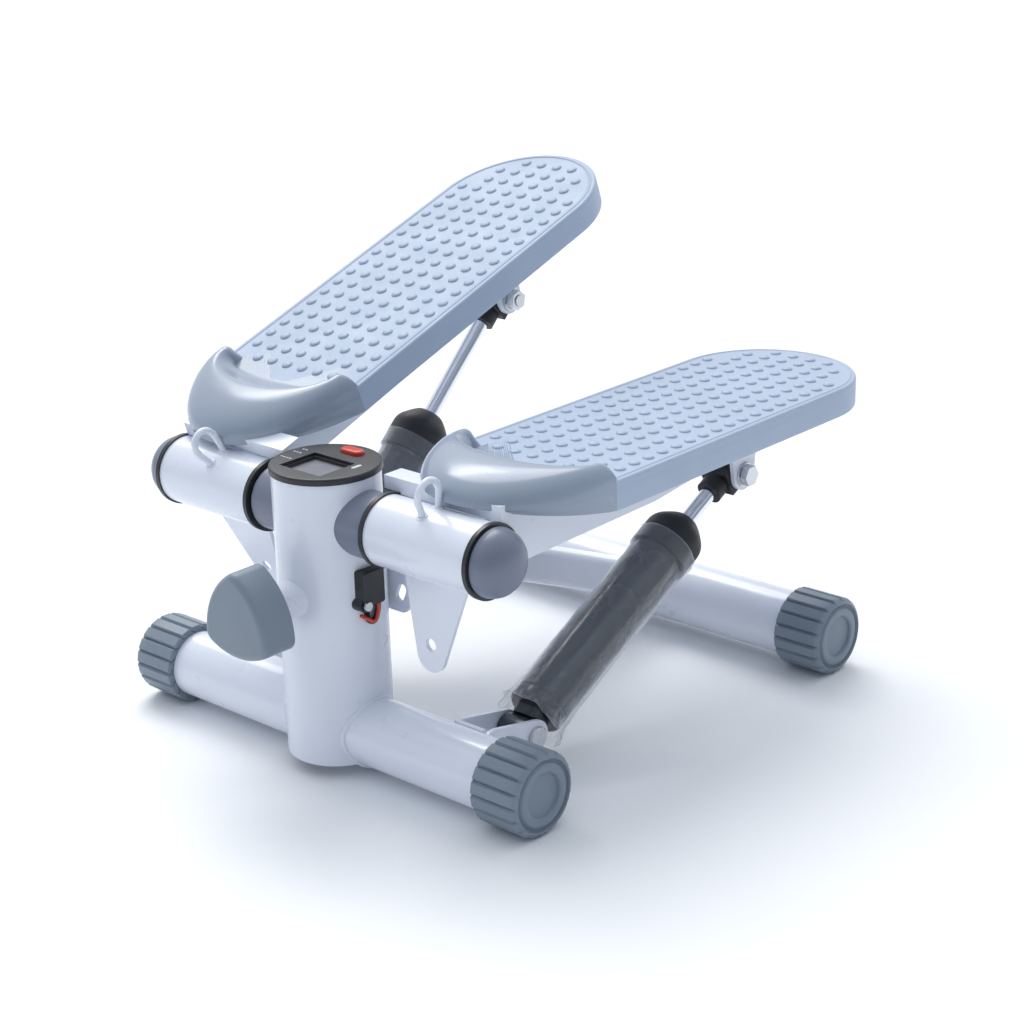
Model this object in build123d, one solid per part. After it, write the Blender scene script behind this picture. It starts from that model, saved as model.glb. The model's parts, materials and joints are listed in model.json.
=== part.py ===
"""Mini stepper: two hinged footplates on a tubular base, each held by a damper.

Millimetres, +Z up, floor at z = 0.  +X is the user's left-to-right when they stand on the
machine facing the display post (-Y).  Everything is laid out with y = 0 on the front base
tube, and save() moves it so that the origin is the bottom centre of the bounding box.
"""
from build123d import *
import math
import os

# ---- base frame ----
TUBE_R = 22.5
TUBE_WALL = 2.0
BASE_HALF_WIDTH = 175.0
WHEELBASE = 306.0            # front tube axis to rear tube axis
CAP_R = 27.0                 # across the flats of a ribbed end cap
CAP_LENGTH = 36.0
CAP_RIBS = 18
CAP_FACE = 5.0
BASE_Z = CAP_R
POST_R = 34.5
POST_WALL = 2.0
POST_BOTTOM = 9.0
POST_TOP = 196.5
BEAM_WIDTH, BEAM_HEIGHT, BEAM_WALL = 36.0, 25.0, 2.0
BEAM_FRONT_Z = 154.0         # height where the beam's axis meets the post's axis

# ---- pivot axle and sleeves ----
PIVOT_Z = 167.5
AXLE_R = 10.0
RUNNING = 0.05               # radial clearance of a running fit
SLEEVE_INNER, SLEEVE_OUTER = 50.5, 139.0
FLANGE = 3.0
FLANGE_R = 23.6
BUSH_R = 21.2
SIDE_GAP = 0.5
DOME_R, DOME_HEIGHT = 21.5, 18.0

# ---- pedals, in a frame with its origin on the pivot: y back along the pedal, z up ----
PEDAL_X = 101.9
RAISED = 19.3                # degrees, the left pedal at rest
PLATE_HALF_WIDTH = 63.5
PLATE_BOTTOM, PLATE_TOP = 13.5, 32.8
PLATE_SKIN = 3.2
TOE_Y, TOE_LENGTH = 75.0, 71.0
HEEL_Y = 314.0
RIM_TOP = 46.5
RIM_END_Y = 86.0
SCOOP_HALF_WIDTH = 48.0
STUD_ROWS, STUD_COLUMNS = 21, 8
STUD_PITCH_X, STUD_PITCH_Y = 14.4, 13.9
STUD_FIRST_Y = 79.5
STUD_R, STUD_HEIGHT = 4.0, 1.5
PLATE_SCREWS = [(x, y) for x in (-24.0, 24.0) for y in (80.0, 240.0)]
SCREW_HEAD_R = 4.2
EYELET_X, EYELET_Y = -7.0, -7.2
BAND_HALF_WIDTH, BAND_WIRE_R = 8.5, 2.25
TRAY_HALF_WIDTH = 34.0
TRAY_TOP = 28.0
TRAY_END = 300.0
LIP_TOP = 30.0               # folded lip along the tray's front edge
LIP_X, LIP_Y = (-62.0, 34.0), (11.0, 26.0)
SHEET = 2.5
LUG_SHEET = 3.0
LUG_TIP = (86.0, -73.0)      # x from the middle of the machine, z from the pivot
LUG_HOLE, LUG_HOLE_R = (86.4, -66.5), 4.25

# ---- dampers ----
LOWER_PIVOT_Y, LOWER_PIVOT_Z = 58.5, 26.0
UPPER_PIVOT_Y, UPPER_PIVOT_Z = 274.6, -26.0      # in the pedal frame
EAR_GAP = 11.5
EAR_SHEET = 3.0
EAR_R = 11.0
CYLINDER_R, CYLINDER_BORE = 19.0, 16.0
CYLINDER_START, CYLINDER_END = 15.0, 166.0       # along the damper from the lower pivot
BOOT_R, BOOT_START, BOOT_END = 21.0, 158.0, 193.0
ROD_R = 5.5
ROD_LENGTH = 186.0
ROD_END_LENGTH = 23.0
PIN_R = 5.0
BOLT_R = 4.0
OPEN_PIVOT_R = 6.0           # eye of the rod end, wide enough for the damper's arc

# ---- display post fittings ----
DISC_R = 35.5
DISC_TOP = 200.7
WINDOW_Y = -7.0
WINDOW_X_SIZE, WINDOW_Y_SIZE = 36.0, 30.0
BUTTON_X, BUTTON_Y = 1.0, 22.3
BUTTON_LENGTH, BUTTON_WIDTH = 18.0, 8.5
BUTTON_PROUD = 2.6
BUTTON_BOTTOM = 186.0
KNOB_Z = 120.0
KNOB_R = 32.0
KNOB_FACE_Y, KNOB_BACK_Y = -83.0, -58.5
BOSS_R = 12.0
SPINDLE_R = 5.0
SENSOR_FACE_X = 41.0
SENSOR_Y, SENSOR_Z = (-11.5, 6.5), (116.0, 139.5)
SENSOR_SCREW = (-9.5, 117.5)                     # y, z of the pick-up's screw
SENSOR_LUG_R = 4.5
SCREW_R = 2.0
LEAD_R, SIGNAL_R = 1.9, 1.1
LEAD_POINTS = [(36.7, 3.5, 116.0), (36.9, 2.4, 109.0), (36.9, -1.6, 104.2), (36.4, -4.8, 106.2)]
LEAD_ENTRY = (-4.2, 109.3)                       # y, z of the hole in the post
SIGNAL_SHIFT = (2.95, -2.2, 1.3)
LEAD_SLIM = 0.15             # a lead is this much thinner in radius where it passes the post's wall
PANEL_Z = POST_TOP - 2.6
BOARD_Z, BOARD_SHEET = 182.0, 1.6
INSIDE_R = POST_R - POST_WALL - 2.0              # inside of the computer's cup
FAR = 260.0                                      # long enough for a cut to pass right through

ORIGIN_SHIFT_Y = -(KNOB_FACE_Y + HEEL_Y + PLATE_HALF_WIDTH) / 2
SIDES = {"left": -1, "right": 1}

os.makedirs("parts", exist_ok=True)


def save(shape, name):
    """Writes one node, moved so that the bounding box is centred on the origin."""
    export_step(Pos(0, ORIGIN_SHIFT_Y, 0) * shape, f"parts/{name}.step")


def x_rod(radius, x0, x1, y=0.0, z=0.0):
    """A solid cylinder along X."""
    return Pos((x0 + x1) / 2, y, z) * Rot(0, 90, 0) * Cylinder(radius, x1 - x0)


def y_rod(radius, y0, y1, x=0.0, z=0.0):
    """A solid cylinder along Y."""
    return Pos(x, (y0 + y1) / 2, z) * Rot(90, 0, 0) * Cylinder(radius, y1 - y0)


def z_rod(radius, z0, z1, x=0.0, y=0.0):
    """A solid cylinder along Z."""
    return Pos(x, y, (z0 + z1) / 2) * Cylinder(radius, z1 - z0)


def block(x0, x1, y0, y1, z0, z1):
    """A box given by its limits."""
    return Pos((x0 + x1) / 2, (y0 + y1) / 2, (z0 + z1) / 2) * Box(x1 - x0, y1 - y0, z1 - z0)


def side_plate(sketch, x0, x1):
    """A plate square to X: the sketch's own x, y become the model's y, z."""
    return extrude(Plane((x0, 0, 0), x_dir=(0, 1, 0), z_dir=(1, 0, 0)) * sketch, x1 - x0)


def hull_of(*shapes):
    """The flat outline stretched round several sketches."""
    return make_hull([edge for shape in shapes for edge in shape.edges()])


def mirror_x(shape, side):
    """The right-hand piece as it is, or its left-hand mirror image."""
    return shape if side > 0 else mirror(shape, Plane.YZ)


# ---------------------------------------------------------------- base frame
def base_tube(y):
    end = BASE_HALF_WIDTH - CAP_FACE
    tube = x_rod(TUBE_R, -end, end, y, BASE_Z)
    return tube - x_rod(TUBE_R - TUBE_WALL, -end - 1, end + 1, y, BASE_Z)


def end_cap():
    """Ribbed cap along +X from x = 0, on its own axis, with one facet down."""
    corner_r = CAP_R / math.cos(math.pi / CAP_RIBS)
    facets = Rot(0, 0, -90 + 180 / CAP_RIBS) * RegularPolygon(corner_r, CAP_RIBS)
    prism = extrude(Plane.YZ * facets, CAP_LENGTH)
    rim = revolve(Plane.XY * Polygon((0, 0), (CAP_LENGTH, 0), (CAP_LENGTH, CAP_R - 1.6),
                                     (CAP_LENGTH - 2.2, corner_r), (0, corner_r), align=None), Axis.X)
    cap = prism & rim
    grooves = []
    for i in range(CAP_RIBS):
        turn = Rot(360 / CAP_RIBS * (i + 0.5), 0, 0)
        notch = Pos(CAP_LENGTH / 2 - 2, 0, -corner_r - 0.2) * Rot(45, 0, 0) * Box(CAP_LENGTH, 2.6, 2.6)
        grooves.append(turn * notch)
    cap -= grooves
    cap -= x_rod(TUBE_R, -1, CAP_LENGTH - CAP_FACE)
    ring = x_rod(21.6, CAP_LENGTH - 1.3, CAP_LENGTH + 1) - x_rod(19.8, CAP_LENGTH - 2, CAP_LENGTH + 2)
    recess = x_rod(14.5, CAP_LENGTH - 1.8, CAP_LENGTH + 1)
    return cap - ring - recess


def beam_axis_z(y):
    """Height of the centre beam's axis at y."""
    return BEAM_FRONT_Z + (BASE_Z - BEAM_FRONT_Z) * y / WHEELBASE


def centre_beam():
    length = math.hypot(WHEELBASE, BEAM_FRONT_Z - BASE_Z)
    angle = math.degrees(math.atan2(BASE_Z - BEAM_FRONT_Z, WHEELBASE))
    outer = RectangleRounded(BEAM_WIDTH, BEAM_HEIGHT, 5)
    inner = RectangleRounded(BEAM_WIDTH - 2 * BEAM_WALL, BEAM_HEIGHT - 2 * BEAM_WALL, 3)
    beam = extrude(outer - inner, length)
    beam = Pos(0, 0, BEAM_FRONT_Z) * Rot(angle, 0, 0) * Rot(-90, 0, 0) * beam
    beam -= z_rod(POST_R, 0, FAR)
    return beam - x_rod(TUBE_R, -60, 60, WHEELBASE, BASE_Z)


def post():
    shell = z_rod(POST_R, POST_BOTTOM, POST_TOP) - z_rod(POST_R - POST_WALL, 0, FAR)
    shell -= x_rod(TUBE_R, -60, 60, 0, BASE_Z)
    shell -= x_rod(AXLE_R, -60, 60, 0, PIVOT_Z)
    shell -= x_rod(SCREW_R, 0, 60, *SENSOR_SCREW)
    shell -= x_rod(LEAD_R - LEAD_SLIM, 0, 60, *LEAD_ENTRY)
    shell -= x_rod(SIGNAL_R - LEAD_SLIM, 0, 60, *shifted(LEAD_ENTRY))
    return shell - y_rod(SPINDLE_R + RUNNING, -60, 0, 0, KNOB_Z)


def post_bush(side):
    """Moulded saddle between the post and the pedal's bearing."""
    bush = x_rod(BUSH_R, 12, SLEEVE_INNER - SIDE_GAP, 0, PIVOT_Z)
    bush = fillet(bush.edges().filter_by(GeomType.CIRCLE).sort_by(Axis.X)[-1:], 3)
    bush -= z_rod(POST_R, 0, FAR)
    return mirror_x(bush - x_rod(AXLE_R, 0, 80, 0, PIVOT_Z), side)


def dome_cap(side):
    """Domed cover pushed on the end of the axle."""
    start = SLEEVE_OUTER + SIDE_GAP
    cap = x_rod(DOME_R, start, start + DOME_HEIGHT, 0, PIVOT_Z)
    cap = fillet(cap.edges().sort_by(Axis.X)[-1:], DOME_HEIGHT - 2)
    return mirror_x(cap - x_rod(AXLE_R, 0, start + 6, 0, PIVOT_Z), side)


def ear(y, z, root_y, root_z, root_r):
    """Outline of one ear in the YZ plane, tapering from its root to a round tip."""
    return hull_of(Pos(y, z) * Circle(EAR_R), Pos(root_y, root_z) * Circle(root_r))


def lower_bracket(side):
    outline = ear(LOWER_PIVOT_Y, LOWER_PIVOT_Z, 20, BASE_Z + 3, 15)
    outline -= Pos(LOWER_PIVOT_Y, LOWER_PIVOT_Z) * Circle(PIN_R)
    ears = [side_plate(outline, x, x + EAR_SHEET) for x in (-EAR_GAP - EAR_SHEET, EAR_GAP)]
    saddle = x_rod(TUBE_R + SHEET, -EAR_GAP, EAR_GAP, 0, BASE_Z)
    saddle &= block(-20, 20, 12, 40, BASE_Z - 14, BASE_Z + 20)
    bracket = ears[0] + saddle + ears[1] - x_rod(TUBE_R, -40, 40, 0, BASE_Z)
    return Pos(side * PEDAL_X, 0, 0) * bracket


def lower_pins():
    """Both pins are alike: a shank through the ears with a flat head on the outer side."""
    pins = []
    for side in SIDES.values():
        reach = EAR_GAP + EAR_SHEET
        pin = x_rod(PIN_R, -reach - 2, reach + 1, LOWER_PIVOT_Y, LOWER_PIVOT_Z)
        head = x_rod(7.5, reach, reach + 3, LOWER_PIVOT_Y, LOWER_PIVOT_Z)
        head = fillet(head.edges().sort_by(Axis.X)[-1:], 1.2)
        pins.append(Pos(side * PEDAL_X, 0, 0) * mirror_x(pin + head, side))
    return Compound(children=pins)


def rope_guide():
    """Plate behind the post with a slanted rope eye on each side."""
    outline = Pos(0, 109) * RectangleRounded(64, 29, 8)
    for side in SIDES.values():
        outline -= Pos(side * 24.5, 108) * Rot(0, 0, side * -25) * SlotOverall(13, 7, rotation=90)
    plate = extrude(Plane((0, 38.5, 0), x_dir=(1, 0, 0), z_dir=(0, -1, 0)) * outline, 3)
    web = block(-4, 4, 30, 36, 97, 121)
    return plate + web - z_rod(POST_R, 0, FAR)


# ---------------------------------------------------------------- post fittings
def computer_housing():
    disc = z_rod(DISC_R, POST_TOP, DISC_TOP)
    disc = fillet(disc.edges().sort_by(Axis.Z)[-1:], 1.4)
    cup = z_rod(POST_R - POST_WALL, BOARD_Z - 2, POST_TOP) - z_rod(INSIDE_R, BOARD_Z, POST_TOP + 1)
    housing = disc + cup
    housing -= block(-WINDOW_X_SIZE / 2, WINDOW_X_SIZE / 2, WINDOW_Y - WINDOW_Y_SIZE / 2,
                     WINDOW_Y + WINDOW_Y_SIZE / 2, POST_TOP - 1, DISC_TOP + 1)
    slot = SlotOverall(BUTTON_LENGTH + 0.4, BUTTON_WIDTH + 0.4)
    return housing - Pos(BUTTON_X, BUTTON_Y, POST_TOP - 1) * extrude(slot, DISC_TOP - POST_TOP + 2)


def display_panel():
    half_x, half_y = WINDOW_X_SIZE / 2 + 1, WINDOW_Y_SIZE / 2 + 1
    return block(-half_x, half_x, WINDOW_Y - half_y, WINDOW_Y + half_y, PANEL_Z, POST_TOP)


def display_window():
    half_x, half_y = WINDOW_X_SIZE / 2, WINDOW_Y_SIZE / 2
    return block(-half_x, half_x, WINDOW_Y - half_y, WINDOW_Y + half_y, POST_TOP, DISC_TOP - 1.6)


def start_button():
    height = DISC_TOP + BUTTON_PROUD - BUTTON_BOTTOM
    body = extrude(SlotOverall(BUTTON_LENGTH, BUTTON_WIDTH), height)
    body = Pos(BUTTON_X, BUTTON_Y, BUTTON_BOTTOM) * body
    return fillet(body.edges().group_by(Axis.Z)[-1], 1.2)


def circuit_board():
    return z_rod(INSIDE_R, BOARD_Z, BOARD_Z + BOARD_SHEET)


def battery_cell():
    return z_rod(10, BOARD_Z + BOARD_SHEET, BOARD_Z + BOARD_SHEET + 3.2, -8, -8)


def knob_boss():
    boss = y_rod(BOSS_R, KNOB_BACK_Y + 1.5, -25, 0, KNOB_Z)
    return boss - z_rod(POST_R, 0, FAR) - y_rod(SPINDLE_R + RUNNING, -90, 0, 0, KNOB_Z)


def adjustment_knob():
    """Three-lobed knob: bulging sides and large round corners, one lobe up."""
    def point(angle, radius):
        return (radius * math.cos(math.radians(angle)), radius * math.sin(math.radians(angle)))
    sides = [ThreePointArc(point(a, KNOB_R), point(a + 60, KNOB_R * 0.77), point(a + 120, KNOB_R))
             for a in (90, 210, 330)]
    outline = make_face(Curve() + sides)
    outline = fillet(outline.vertices(), 9)
    knob = extrude(Plane((0, KNOB_BACK_Y, KNOB_Z), x_dir=(1, 0, 0), z_dir=(0, -1, 0)) * outline,
                   KNOB_BACK_Y - KNOB_FACE_Y)
    knob = fillet(knob.edges().group_by(Axis.Y)[0], 4.5)
    return knob - y_rod(SPINDLE_R, KNOB_FACE_Y + 8, 0, 0, KNOB_Z)


def knob_spindle():
    return y_rod(SPINDLE_R, KNOB_FACE_Y + 8, -26, 0, KNOB_Z)


def sensor_housing():
    """Box of the step counter's pick-up, with a round lug for its screw at one corner."""
    box = block(30, SENSOR_FACE_X, *SENSOR_Y, *SENSOR_Z)
    box = fillet(box.edges().filter_by(Axis.X), 2.0)
    box = chamfer(box.faces().sort_by(Axis.X)[-1].edges(), 0.8)
    lug = x_rod(SENSOR_LUG_R, 30, SENSOR_FACE_X - 1.5, *SENSOR_SCREW)
    return box + lug - z_rod(POST_R, 0, FAR) - x_rod(SCREW_R, 0, 60, *SENSOR_SCREW)


def sensor_screw():
    """Pan-head screw through the lug into the post's wall."""
    head = SENSOR_FACE_X
    return x_rod(SCREW_R, 31, head, *SENSOR_SCREW) + x_rod(2.9, head, head + 1.6, *SENSOR_SCREW)


def shifted(entry):
    """The signal lead's hole in the post, beside the other lead's."""
    return entry[0] + SIGNAL_SHIFT[1] - 2.0, entry[1] - 0.6


def looped_lead(radius, entry, shift=(0.0, 0.0, 0.0)):
    """Lead hanging in a short loop under the pick-up and going into the post."""
    dx, dy, dz = shift
    first, *rest = LEAD_POINTS
    points = [(first[0] + dx, first[1] + dy, first[2])]
    points += [(x + dx, y + dy, z + dz) for x, y, z in rest]
    path = Spline(*points, (32, *entry), tangents=((0, 0, -1), (-1, 0, 0)))
    lead = sweep(Plane(origin=path @ 0, z_dir=path % 0) * Circle(radius), path=path)
    return lead - z_rod(POST_R, 0, FAR) + x_rod(radius - LEAD_SLIM, 31, 35.2, *entry)


# ---------------------------------------------------------------- pedals
def pivot_sleeve():
    ends = SLEEVE_INNER + FLANGE - PEDAL_X, SLEEVE_OUTER - FLANGE - PEDAL_X
    return x_rod(TUBE_R, *ends) - x_rod(TUBE_R - TUBE_WALL, ends[0] - 1, ends[1] + 1)


def bearing(inner):
    """Flanged nylon bush in one end of the sleeve."""
    if inner:
        face, step = SLEEVE_INNER - PEDAL_X, 1
    else:
        face, step = SLEEVE_OUTER - PEDAL_X, -1
    shoulder, tail = face + step * FLANGE, face + step * 18
    flange = x_rod(FLANGE_R, *sorted((face, shoulder)))
    spigot = x_rod(TUBE_R - TUBE_WALL, *sorted((face, tail)))
    return flange + spigot - x_rod(AXLE_R + RUNNING, *sorted((face - step, tail + step)))


def band_eyelet():
    """Bent wire arch on top of the sleeve, for clipping on a resistance band."""
    half, shoulder = BAND_HALF_WIDTH, 33.5
    up = Line((0, -half, 16), (0, -half, shoulder))
    over = ThreePointArc((0, -half, shoulder), (0, 0, shoulder + half), (0, half, shoulder))
    down = Line((0, half, shoulder), (0, half, 16))
    path = Wire([up, over, down])
    arch = sweep(Plane(origin=(0, -half, 16), z_dir=(0, 0, 1)) * Circle(BAND_WIRE_R), path=path)
    return Pos(EYELET_X, 0, 0) * (Pos(0, EYELET_Y, 0) * arch - x_rod(TUBE_R, -20, 20))


def rope_lug():
    """Tapered lug welded under the sleeve, with the hole for the drive rope."""
    root = make_face(Polyline((66, -19), (120, -19), (110, -17), (70, -17), close=True))
    outline = hull_of(Pos(*LUG_TIP) * Circle(11.5), root) - Pos(*LUG_HOLE) * Circle(LUG_HOLE_R)
    plane = Plane((-PEDAL_X, LUG_SHEET / 2, 0), x_dir=(1, 0, 0), z_dir=(0, -1, 0))
    return extrude(plane * outline, LUG_SHEET) - x_rod(TUBE_R, -60, 60)


def pedal_tray():
    """Folded steel tray under the footplate: deck, side plates and a lip along the front."""
    half = TRAY_HALF_WIDTH
    deck = block(-half, half, LIP_Y[1] - 2, TRAY_END, TRAY_TOP - SHEET, TRAY_TOP)
    lip = block(*LIP_X, *LIP_Y, LIP_TOP - 10, LIP_TOP)
    lip -= block(LIP_X[0] - 1, LIP_X[1] + 1, LIP_Y[0] + SHEET, LIP_Y[1] + 1, 0, LIP_TOP - SHEET)
    outline = make_face(Polyline((13, -9.5), (155, -7), (249, 3.5), (TRAY_END, 5.5),
                                 (TRAY_END, TRAY_TOP), (13, TRAY_TOP), close=True))
    sides = [side_plate(outline, x, x + SHEET) for x in (-half, half - SHEET)]
    back = block(-half, half, TRAY_END - SHEET, TRAY_END, 5.5, TRAY_TOP)
    tray = deck + lip + sides[0] + sides[1] + back
    tray -= x_rod(TUBE_R, -60, 60)
    tray -= x_rod(FLANGE_R + 0.6, -80, SLEEVE_INNER + FLANGE - PEDAL_X + 0.1)
    tray -= x_rod(FLANGE_R + 0.6, SLEEVE_OUTER - FLANGE - PEDAL_X - 0.1, 60)
    return tray - [z_rod(SCREW_R, 0, TRAY_TOP + 1, x, y) for x, y in PLATE_SCREWS]


def plate_outline(inset=0.0):
    half = PLATE_HALF_WIDTH - inset
    middle = Pos(0, (TOE_Y + HEEL_Y) / 2) * Rectangle(2 * half, HEEL_Y - TOE_Y)
    return middle + Pos(0, TOE_Y) * Ellipse(half, TOE_LENGTH - inset) + Pos(0, HEEL_Y) * Circle(half)


def stud_places():
    """Centres of the tread studs that lie clear of the rim and the toe."""
    places = []
    for row in range(STUD_ROWS):
        y = STUD_FIRST_Y + row * STUD_PITCH_Y
        for column in range(STUD_COLUMNS):
            x = (column - (STUD_COLUMNS - 1) / 2) * STUD_PITCH_X
            past_heel = max(0.0, y - HEEL_Y)
            clear_of_heel = math.hypot(x, past_heel) < PLATE_HALF_WIDTH - 10
            clear_of_toe = abs(x) < SCOOP_HALF_WIDTH - 4 or y > RIM_END_Y + 5
            if clear_of_heel and clear_of_toe:
                places.append((x, y))
    return places


def scoop_outline(half_width, depth):
    """U-shaped outline open towards the heel, reaching forward of the rim's ends by depth."""
    arc = EllipticalCenterArc((0, RIM_END_Y - 4), half_width, depth, start_angle=180, arc_size=180)
    return make_face(Curve() + [arc, Polyline(arc @ 1, (half_width, 160), (-half_width, 160), arc @ 0)])


def footplate():
    """Moulded plate: skirted shell, raised toe rim scooped towards the tread, and studs."""
    plate = extrude(Pos(0, 0, PLATE_BOTTOM) * plate_outline(), PLATE_TOP - PLATE_BOTTOM)
    front = plate_outline() & Pos(0, RIM_END_Y / 2 - 50) * Rectangle(200, RIM_END_Y + 100)
    rim = extrude(Pos(0, 0, PLATE_BOTTOM) * front, RIM_TOP - PLATE_BOTTOM)
    rim = fillet(rim.edges().group_by(Axis.Z)[-1], 7)
    scoop = loft([Pos(0, 0, PLATE_TOP) * scoop_outline(SCOOP_HALF_WIDTH, 12),
                  Pos(0, 0, RIM_TOP + 0.1) * scoop_outline(SCOOP_HALF_WIDTH + 6, 42)])
    solid = plate + (rim - scoop)
    cavity = extrude(plate_outline(PLATE_SKIN), TRAY_TOP + 0.1)
    solid -= cavity & block(-80, 80, 26, 400, 0, 40)
    toe_relief = make_face(Polyline((-20, 0), (84, 0), (84, PLATE_BOTTOM), (0, 25.4), (-20, 27.6),
                                    close=True))
    solid -= side_plate(toe_relief, -80, 80)
    solid -= block(LIP_X[0] - 1, LIP_X[1] + 1, LIP_Y[0] - 1, LIP_Y[1] + 1, 0, LIP_TOP + 0.1)
    solid -= block(-TRAY_HALF_WIDTH - 1, TRAY_HALF_WIDTH + 1, LIP_Y[1], 72, 0, TRAY_TOP + 0.1)
    solid -= [z_rod(SCREW_R, 0, TRAY_TOP + 2, x, y) for x, y in PLATE_SCREWS]
    studs = [z_rod(STUD_R, PLATE_TOP, PLATE_TOP + STUD_HEIGHT, x, y) for x, y in stud_places()]
    return solid.fuse(*studs)


def footplate_screws():
    """Four pan-head screws up through the deck into the footplate."""
    under = TRAY_TOP - SHEET
    screws = [z_rod(SCREW_HEAD_R, under - 2.4, under, x, y) + z_rod(SCREW_R, under - 1, TRAY_TOP + 2, x, y)
              for x, y in PLATE_SCREWS]
    return Compound(children=screws)


def upper_bracket():
    y, z = UPPER_PIVOT_Y, UPPER_PIVOT_Z
    under = TRAY_TOP - SHEET
    outline = hull_of(Pos(y, z) * Circle(EAR_R), Pos(y, under - 1) * Rectangle(36, 2))
    outline -= Pos(y, z) * Circle(BOLT_R)
    ears = [side_plate(outline, x, x + EAR_SHEET) for x in (-EAR_GAP - EAR_SHEET, EAR_GAP)]
    return ears[0] + ears[1] + block(-EAR_GAP, EAR_GAP, y - 18, y + 18, under - EAR_SHEET, under)


def upper_bolt(side):
    """Hexagon bolt with two washers and a nut, head on the outer side."""
    y, z, face = UPPER_PIVOT_Y, UPPER_PIVOT_Z, EAR_GAP + EAR_SHEET
    hexagon = Plane((0, y, z), x_dir=(0, 1, 0), z_dir=(1, 0, 0)) * RegularPolygon(7.5, 6)
    bolt = x_rod(BOLT_R, -face - 9, face + 3, y, z) + Pos(face + 1.5, 0, 0) * extrude(hexagon, 5.3)
    nut = Pos(-face - 8, 0, 0) * extrude(hexagon, 6.5) - x_rod(BOLT_R, -40, 0, y, z)
    washers = [x_rod(8.5, x, x + 1.5, y, z) - x_rod(BOLT_R, -40, 40, y, z) for x in (-face - 1.5, face)]
    return mirror_x(Compound(children=[bolt, nut] + washers), side)


def place_pedal(piece, side):
    """From the pedal frame to the model: the left pedal is up and the right one is down."""
    angle = RAISED if side < 0 else 0.0
    return Pos(side * PEDAL_X, 0, PIVOT_Z) * Rot(angle, 0, 0) * piece


# ---------------------------------------------------------------- dampers
def damper_cylinder():
    """Along +Y from the lower pivot at the origin."""
    tube = y_rod(CYLINDER_R, CYLINDER_START, CYLINDER_END)
    tube = fillet(tube.edges().sort_by(Axis.Y)[:1], 3)
    tube -= y_rod(CYLINDER_BORE, CYLINDER_START + 6, CYLINDER_END + 1)
    eye = x_rod(10, -EAR_GAP + SIDE_GAP, EAR_GAP - SIDE_GAP)
    neck = block(-9, 9, 0, CYLINDER_START, -9, 9)
    return tube + (eye + neck - x_rod(PIN_R + RUNNING, -30, 30))


def damper_boot():
    """Rubber-faced end cap and gland over the top of the cylinder."""
    boot = y_rod(BOOT_R, BOOT_START, BOOT_END)
    boot = fillet(boot.edges().sort_by(Axis.Y)[-1:], 9)
    boot -= y_rod(CYLINDER_R, BOOT_START - 1, CYLINDER_END)
    return boot - y_rod(ROD_R + RUNNING, BOOT_START, BOOT_END + 1)


def damper_rod():
    """Along -Y from the upper pivot at the origin."""
    return y_rod(ROD_R, -ROD_LENGTH, -ROD_END_LENGTH + 8)


def damper_piston():
    piston = y_rod(CYLINDER_BORE - RUNNING, -ROD_LENGTH - 4, -ROD_LENGTH + 8)
    return piston - y_rod(ROD_R, -ROD_LENGTH, 0)


def damper_rod_end():
    eye = x_rod(10.5, -EAR_GAP + SIDE_GAP, EAR_GAP - SIDE_GAP)
    body = block(-EAR_GAP + SIDE_GAP, EAR_GAP - SIDE_GAP, -13, 0, -9, 9)
    neck = y_rod(9.0, -ROD_END_LENGTH, -13)
    return eye + body + neck - x_rod(OPEN_PIVOT_R, -30, 30) - y_rod(ROD_R, -40, -ROD_END_LENGTH + 8)


def upper_pivot(side):
    """The rod end's pivot in the model at rest, as (y, z)."""
    angle = math.radians(RAISED if side < 0 else 0.0)
    y = UPPER_PIVOT_Y * math.cos(angle) - UPPER_PIVOT_Z * math.sin(angle)
    z = UPPER_PIVOT_Y * math.sin(angle) + UPPER_PIVOT_Z * math.cos(angle)
    return y, PIVOT_Z + z


def damper_angle(side):
    y, z = upper_pivot(side)
    return math.degrees(math.atan2(z - LOWER_PIVOT_Z, y - LOWER_PIVOT_Y))


def place_lower(piece, side):
    return Pos(side * PEDAL_X, LOWER_PIVOT_Y, LOWER_PIVOT_Z) * Rot(damper_angle(side), 0, 0) * piece


def place_upper(piece, side):
    y, z = upper_pivot(side)
    return Pos(side * PEDAL_X, y, z) * Rot(damper_angle(side), 0, 0) * piece


# ---------------------------------------------------------------- write every node
save(base_tube(0), "front_base_tube")
save(base_tube(WHEELBASE), "rear_base_tube")
save(centre_beam(), "centre_beam")
save(post(), "display_post")
save(x_rod(AXLE_R, -SLEEVE_OUTER - 6, SLEEVE_OUTER + 6, 0, PIVOT_Z), "pivot_axle")
save(rope_guide(), "rope_guide_plate")
save(lower_pins(), "damper_lower_pins")
for end, y in (("front", 0), ("rear", WHEELBASE)):
    for name, side in SIDES.items():
        cap = Pos(BASE_HALF_WIDTH - CAP_LENGTH, y, BASE_Z) * end_cap()
        save(mirror_x(cap, side), f"{end}_{name}_end_cap")

save(computer_housing(), "computer_housing")
save(display_window(), "display_window")
save(display_panel(), "display_panel")
save(circuit_board(), "circuit_board")
save(battery_cell(), "battery_cell")
save(start_button(), "start_button")
save(knob_boss(), "knob_boss")
save(adjustment_knob(), "adjustment_knob")
save(knob_spindle(), "knob_spindle")
save(sensor_housing(), "sensor_housing")
save(sensor_screw(), "sensor_screw")
save(looped_lead(LEAD_R, LEAD_ENTRY), "sensor_lead")
save(looped_lead(SIGNAL_R, shifted(LEAD_ENTRY), SIGNAL_SHIFT), "sensor_signal_lead")

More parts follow.
